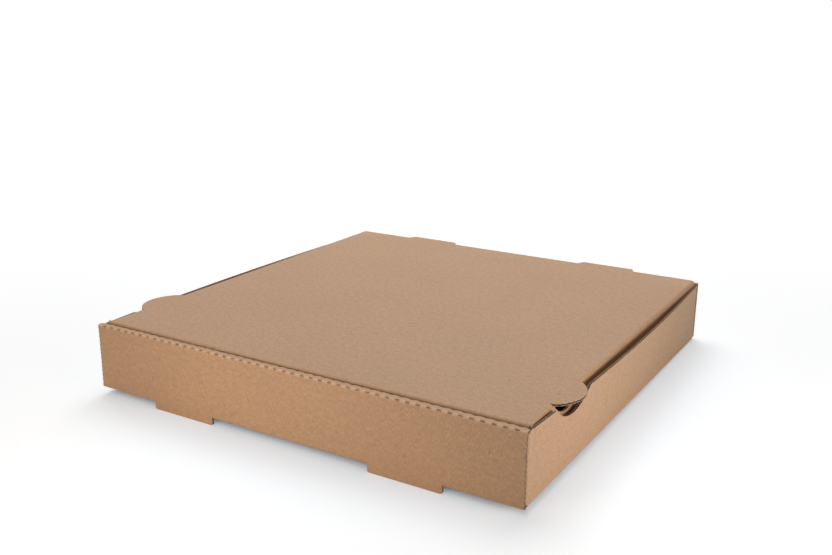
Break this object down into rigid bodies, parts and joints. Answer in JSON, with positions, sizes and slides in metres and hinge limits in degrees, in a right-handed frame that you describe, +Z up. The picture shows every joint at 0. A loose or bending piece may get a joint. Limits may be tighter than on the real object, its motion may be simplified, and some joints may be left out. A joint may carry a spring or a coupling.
{
  "type": "pizza box",
  "caption": "Low square folded box of plain kraft corrugated board, with a roll-over front wall, two feet and a hinged tuck-in lid.",
  "frame": {"origin": "bottom centre of the closed box, level with the tips of the two feet", "axes": "+Z up out of the lid, +Y from the front wall to the lid's hinge, +X to the right seen from the front"},
  "size_m": [0.3472, 0.3356, 0.0542],
  "materials": {
    "tray_board": "plain brown kraft liner, matt",
    "lid_board": "plain brown kraft liner, matt"
  },
  "bodies": {
    "tray": {"tray": "tray_board"},
    "lid": {"lid": "lid_board"}
  },
  "joints": [
    {"name": "lid_hinge", "type": "hinge", "parent": "tray", "child": "lid", "pos_m": [0, 0.1614, 0.0534], "axis": [-1, 0, 0], "range_deg": [0, 180]}
  ]
}
